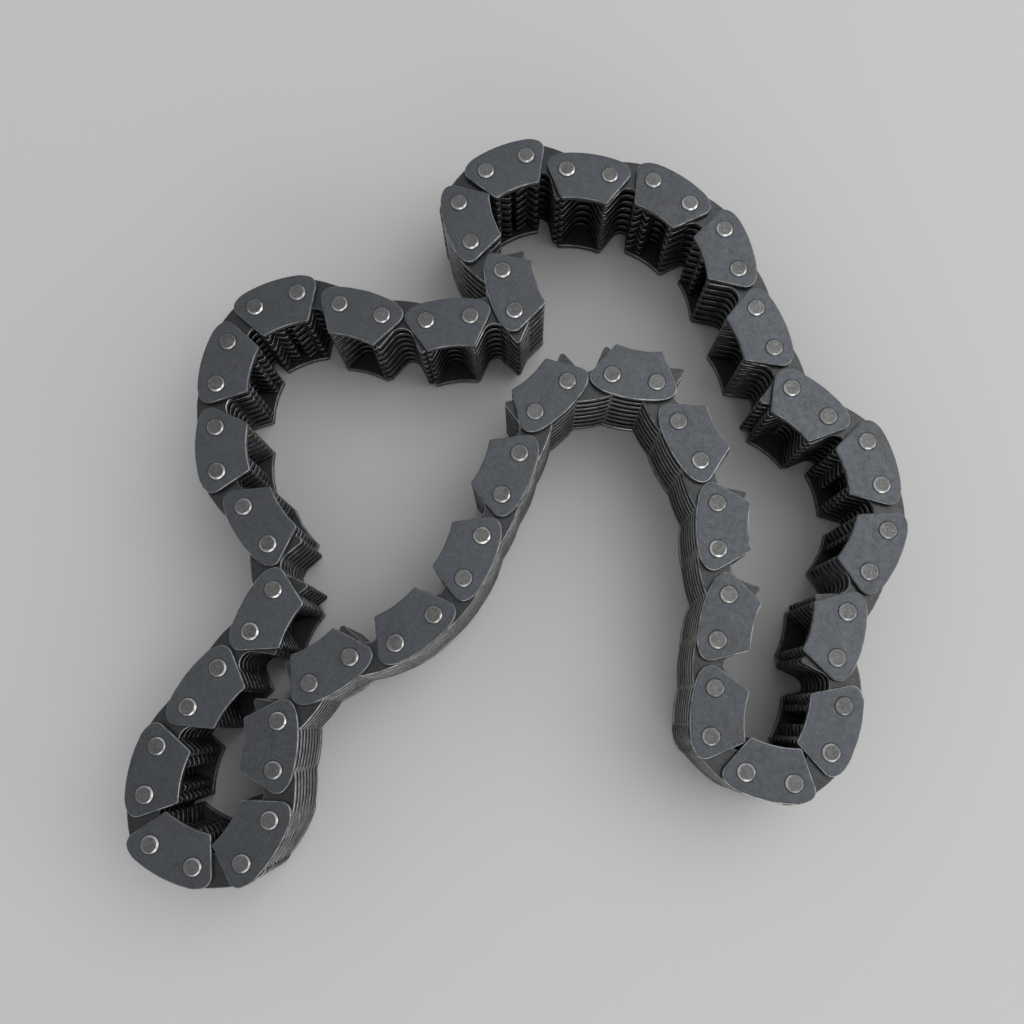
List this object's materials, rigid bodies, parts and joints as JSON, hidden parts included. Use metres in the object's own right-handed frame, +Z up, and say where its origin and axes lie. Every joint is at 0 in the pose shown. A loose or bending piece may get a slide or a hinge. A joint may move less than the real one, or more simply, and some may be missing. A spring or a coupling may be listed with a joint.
{
  "type": "silent chain",
  "caption": "Endless inverted-tooth (silent) chain lying on its side: laced toothed steel plates on round pins between plain guide plates, to drive toothed sprockets.",
  "frame": {"origin": "on the floor under the middle of the laid loop's bounding box, at the lower ends of the pins", "axes": "+Z up along the pins, +X to the right and +Y to the top of the picture"},
  "size_m": [0.1572, 0.1582, 0.0265],
  "materials": {
    "guide_steel": "dark satin hardened steel, worn bright along the edges",
    "tooth_steel": "dark oiled hardened steel, edges a little brighter",
    "pin_steel": "matt grey ground ends with a bright chamfer"
  },
  "bodies": {
    "fixed_runs": {"guide_plates_fixed": "guide_steel", "row_plates_fixed": "tooth_steel", "inner_plates_fixed": "tooth_steel", "pins_fixed": "pin_steel"},
    "link_10": {"inner_link_10": "tooth_steel"},
    "link_11": {"guide_link_11": "guide_steel", "pins_11": "pin_steel"},
    "link_12": {"inner_link_12": "tooth_steel"},
    "link_13": {"guide_link_13": "guide_steel", "pins_13": "pin_steel"},
    "link_14": {"inner_link_14": "tooth_steel"},
    "link_15": {"guide_link_15": "guide_steel", "pins_15": "pin_steel"},
    "link_16": {"inner_link_16": "tooth_steel"},
    "link_17": {"guide_link_17": "guide_steel", "pins_17": "pin_steel"},
    "link_18": {"inner_link_18": "tooth_steel"},
    "link_19": {"guide_link_19": "guide_steel", "pins_19": "pin_steel"},
    "link_20": {"inner_link_20": "tooth_steel"},
    "link_21": {"guide_link_21": "guide_steel", "pins_21": "pin_steel"},
    "link_22": {"inner_link_22": "tooth_steel"},
    "link_36": {"inner_link_36": "tooth_steel"},
    "link_37": {"guide_link_37": "guide_steel", "pins_37": "pin_steel"},
    "link_38": {"inner_link_38": "tooth_steel"},
    "link_39": {"guide_link_39": "guide_steel", "pins_39": "pin_steel"},
    "link_40": {"inner_link_40": "tooth_steel"},
    "link_41": {"guide_link_41": "guide_steel", "pins_41": "pin_steel"},
    "link_42": {"inner_link_42": "tooth_steel"},
    "link_43": {"guide_link_43": "guide_steel", "pins_43": "pin_steel"},
    "link_44": {"inner_link_44": "tooth_steel"},
    "link_45": {"guide_link_45": "guide_steel", "pins_45": "pin_steel"},
    "link_46": {"inner_link_46": "tooth_steel"},
    "link_47": {"guide_link_47": "guide_steel", "pins_47": "pin_steel"},
    "link_48": {"inner_link_48": "tooth_steel"},
    "link_54": {"inner_link_54": "tooth_steel"},
    "link_55": {"guide_link_55": "guide_steel", "pins_55": "pin_steel"},
    "link_56": {"inner_link_56": "tooth_steel"},
    "link_57": {"guide_link_57": "guide_steel", "pins_57": "pin_steel"},
    "link_58": {"inner_link_58": "tooth_steel"},
    "link_59": {"guide_link_59": "guide_steel", "pins_59": "pin_steel"},
    "link_60": {"inner_link_60": "tooth_steel"},
    "link_61": {"guide_link_61": "guide_steel", "pins_61": "pin_steel"},
    "link_62": {"inner_link_62": "tooth_steel"},
    "link_63": {"guide_link_63": "guide_steel", "pins_63": "pin_steel"},
    "link_64": {"inner_link_64": "tooth_steel"}
  },
  "joints": [
    {"name": "pivot_10", "type": "hinge", "parent": "fixed_runs", "child": "link_10", "pos_m": [-0.04299, -0.03969, 0.01323], "axis": [0, 0, 1], "range_deg": [-20, 0]},
    {"name": "pivot_11", "type": "hinge", "parent": "link_10", "child": "link_11", "pos_m": [-0.04898, -0.04709, 0.01323], "axis": [0, 0, 1], "range_deg": [-0.05, 3.18]},
    {"name": "pivot_12", "type": "hinge", "parent": "link_11", "child": "link_12", "pos_m": [-0.04948, -0.05661, 0.01323], "axis": [0, 0, 1], "range_deg": [-2.83, 0.05]},
    {"name": "pivot_13", "type": "hinge", "parent": "link_12", "child": "link_13", "pos_m": [-0.04981, -0.06613, 0.01323], "axis": [0, 0, 1], "range_deg": [-14.64, 0.05]},
    {"name": "pivot_14", "type": "hinge", "parent": "link_13", "child": "link_14", "pos_m": [-0.05486, -0.0742, 0.01323], "axis": [0, 0, 1], "range_deg": [-0.05, 20.05]},
    {"name": "pivot_15", "type": "hinge", "parent": "link_14", "child": "link_15", "pos_m": [-0.06436, -0.07487, 0.01323], "axis": [0, 0, 1], "range_deg": [-0.05, 16.49]},
    {"name": "pivot_16", "type": "hinge", "parent": "link_15", "child": "link_16", "pos_m": [-0.07292, -0.07069, 0.01323], "axis": [0, 0, 1], "range_deg": [-2.99, 0.05]},
    {"name": "pivot_17", "type": "hinge", "parent": "link_16", "child": "link_17", "pos_m": [-0.07458, -0.06131, 0.01323], "axis": [0, 0, 1], "range_deg": [-0.05, 2.77]},
    {"name": "pivot_18", "type": "hinge", "parent": "link_17", "child": "link_18", "pos_m": [-0.07276, -0.05196, 0.01323], "axis": [0, 0, 1], "range_deg": [-10.63, 0.05]},
    {"name": "pivot_19", "type": "hinge", "parent": "link_18", "child": "link_19", "pos_m": [-0.06703, -0.04436, 0.01323], "axis": [0, 0, 1], "range_deg": [-14.79, 0.05]},
    {"name": "pivot_20", "type": "hinge", "parent": "link_19", "child": "link_20", "pos_m": [-0.06143, -0.03665, 0.01323], "axis": [0, 0, 1], "range_deg": [-0.05, 3.05]},
    {"name": "pivot_21", "type": "hinge", "parent": "link_20", "child": "link_21", "pos_m": [-0.05531, -0.02935, 0.01323], "axis": [0, 0, 1], "range_deg": [-13.02, 0.05]},
    {"name": "pivot_22", "type": "hinge", "parent": "link_21", "child": "link_22", "pos_m": [-0.05098, -0.02087, 0.01323], "axis": [0, 0, 1], "range_deg": [-0.05, 20.05]},
    {"name": "pivot_36", "type": "hinge", "parent": "fixed_runs", "child": "link_36", "pos_m": [-0.0045, 0.04814, 0.01323], "axis": [0, 0, 1], "range_deg": [-16.14, 0.05]},
    {"name": "pivot_37", "type": "hinge", "parent": "link_36", "child": "link_37", "pos_m": [-0.01135, 0.05475, 0.01323], "axis": [0, 0, 1], "range_deg": [-10.8, 0.05]},
    {"name": "pivot_38", "type": "hinge", "parent": "link_37", "child": "link_38", "pos_m": [-0.01398, 0.06391, 0.01323], "axis": [0, 0, 1], "range_deg": [0, 20]},
    {"name": "pivot_39", "type": "hinge", "parent": "link_38", "child": "link_39", "pos_m": [-0.00811, 0.07141, 0.01323], "axis": [0, 0, 1], "range_deg": [-0.05, 8.32]},
    {"name": "pivot_40", "type": "hinge", "parent": "link_39", "child": "link_40", "pos_m": [0.00072, 0.07498, 0.01323], "axis": [0, 0, 1], "range_deg": [-2.83, 0.05]},
    {"name": "pivot_41", "type": "hinge", "parent": "link_40", "child": "link_41", "pos_m": [0.00967, 0.07172, 0.01323], "axis": [0, 0, 1], "range_deg": [-0.05, 3.05]},
    {"name": "pivot_42", "type": "hinge", "parent": "link_41", "child": "link_42", "pos_m": [0.01908, 0.07023, 0.01323], "axis": [0, 0, 1], "range_deg": [-2.86, 0.05]},
    {"name": "pivot_43", "type": "hinge", "parent": "link_42", "child": "link_43", "pos_m": [0.02851, 0.06891, 0.01323], "axis": [0, 0, 1], "range_deg": [-0.05, 3.11]},
    {"name": "pivot_44", "type": "hinge", "parent": "link_43", "child": "link_44", "pos_m": [0.03631, 0.06345, 0.01323], "axis": [0, 0, 1], "range_deg": [-2.91, 0.05]},
    {"name": "pivot_45", "type": "hinge", "parent": "link_44", "child": "link_45", "pos_m": [0.04361, 0.05732, 0.01323], "axis": [0, 0, 1], "range_deg": [-0.05, 3.37]},
    {"name": "pivot_46", "type": "hinge", "parent": "link_45", "child": "link_46", "pos_m": [0.04623, 0.04817, 0.01323], "axis": [0, 0, 1], "range_deg": [-9.95, 0.05]},
    {"name": "pivot_47", "type": "hinge", "parent": "link_46", "child": "link_47", "pos_m": [0.04965, 0.03927, 0.01323], "axis": [0, 0, 1], "range_deg": [-20.05, 0.05]},
    {"name": "pivot_48", "type": "hinge", "parent": "link_47", "child": "link_48", "pos_m": [0.05306, 0.03038, 0.01323], "axis": [0, 0, 1], "range_deg": [-0.05, 15.46]},
    {"name": "pivot_54", "type": "hinge", "parent": "fixed_runs", "child": "link_54", "pos_m": [0.07006, -0.01738, 0.01323], "axis": [0, 0, 1], "range_deg": [-4.77, 4.77]},
    {"name": "pivot_55", "type": "hinge", "parent": "link_54", "child": "link_55", "pos_m": [0.06516, -0.02555, 0.01323], "axis": [0, 0, 1], "range_deg": [-16.82, 16.82]},
    {"name": "pivot_56", "type": "hinge", "parent": "link_55", "child": "link_56", "pos_m": [0.06253, -0.03471, 0.01323], "axis": [0, 0, 1], "range_deg": [-4.82, 4.82]},
    {"name": "pivot_57", "type": "hinge", "parent": "link_56", "child": "link_57", "pos_m": [0.06336, -0.04419, 0.01323], "axis": [0, 0, 1], "range_deg": [-14.8, 14.8]},
    {"name": "pivot_58", "type": "hinge", "parent": "link_57", "child": "link_58", "pos_m": [0.06026, -0.0532, 0.01323], "axis": [0, 0, 1], "range_deg": [-4.31, 4.31]},
    {"name": "pivot_59", "type": "hinge", "parent": "link_58", "child": "link_59", "pos_m": [0.05275, -0.05906, 0.01323], "axis": [0, 0, 1], "range_deg": [-4.46, 4.46]},
    {"name": "pivot_60", "type": "hinge", "parent": "link_59", "child": "link_60", "pos_m": [0.04347, -0.05692, 0.01323], "axis": [0, 0, 1], "range_deg": [-4.06, 4.06]},
    {"name": "pivot_61", "type": "hinge", "parent": "link_60", "child": "link_61", "pos_m": [0.03686, -0.05007, 0.01323], "axis": [0, 0, 1], "range_deg": [-4.46, 4.46]},
    {"name": "pivot_62", "type": "hinge", "parent": "link_61", "child": "link_62", "pos_m": [0.03802, -0.04062, 0.01323], "axis": [0, 0, 1], "range_deg": [-18.05, 18.05]},
    {"name": "pivot_63", "type": "hinge", "parent": "link_62", "child": "link_63", "pos_m": [0.03885, -0.03113, 0.01323], "axis": [0, 0, 1], "range_deg": [-2.51, 2.51]},
    {"name": "pivot_64", "type": "hinge", "parent": "link_63", "child": "link_64", "pos_m": [0.04147, -0.02197, 0.01323], "axis": [0, 0, 1], "range_deg": [-15.72, 15.72]}
  ],
  "couplings": [
    {"joint": "pivot_11", "follows": "pivot_10", "ratio": -0.1566},
    {"joint": "pivot_12", "follows": "pivot_10", "ratio": 0.13887},
    {"joint": "pivot_13", "follows": "pivot_10", "ratio": 0.72975},
    {"joint": "pivot_14", "follows": "pivot_10", "ratio": -1},
    {"joint": "pivot_15", "follows": "pivot_10", "ratio": -0.82188},
    {"joint": "pivot_16", "follows": "pivot_10", "ratio": 0.14722},
    {"joint": "pivot_17", "follows": "pivot_10", "ratio": -0.13589},
    {"joint": "pivot_18", "follows": "pivot_10", "ratio": 0.52899},
    {"joint": "pivot_19", "follows": "pivot_10", "ratio": 0.73717},
    {"joint": "pivot_20", "follows": "pivot_10", "ratio": -0.14985},
    {"joint": "pivot_21", "follows": "pivot_10", "ratio": 0.64846},
    {"joint": "pivot_22", "follows": "pivot_10", "ratio": -1},
    {"joint": "pivot_36", "follows": "pivot_38", "ratio": -0.80472},
    {"joint": "pivot_37", "follows": "pivot_38", "ratio": -0.53758},
    {"joint": "pivot_39", "follows": "pivot_38", "ratio": 0.41352},
    {"joint": "pivot_40", "follows": "pivot_38", "ratio": -0.13878},
    {"joint": "pivot_41", "follows": "pivot_38", "ratio": 0.14993},
    {"joint": "pivot_42", "follows": "pivot_38", "ratio": -0.14068},
    {"joint": "pivot_43", "follows": "pivot_38", "ratio": 0.15277},
    {"joint": "pivot_44", "follows": "pivot_38", "ratio": -0.14287},
    {"joint": "pivot_45", "follows": "pivot_38", "ratio": 0.1658},
    {"joint": "pivot_46", "follows": "pivot_38", "ratio": -0.49524},
    {"joint": "pivot_47", "follows": "pivot_38", "ratio": -1},
    {"joint": "pivot_48", "follows": "pivot_38", "ratio": 0.77036},
    {"joint": "pivot_54", "follows": "pivot_55", "ratio": 0.28059},
    {"joint": "pivot_56", "follows": "pivot_55", "ratio": -0.28363},
    {"joint": "pivot_57", "follows": "pivot_55", "ratio": -0.87686},
    {"joint": "pivot_58", "follows": "pivot_55", "ratio": -0.25328},
    {"joint": "pivot_59", "follows": "pivot_55", "ratio": 0.26183},
    {"joint": "pivot_60", "follows": "pivot_55", "ratio": -0.23806},
    {"joint": "pivot_61", "follows": "pivot_55", "ratio": 0.26183},
    {"joint": "pivot_62", "follows": "pivot_55", "ratio": 1.0699},
    {"joint": "pivot_63", "follows": "pivot_55", "ratio": -0.14598},
    {"joint": "pivot_64", "follows": "pivot_55", "ratio": -0.93138}
  ]
}
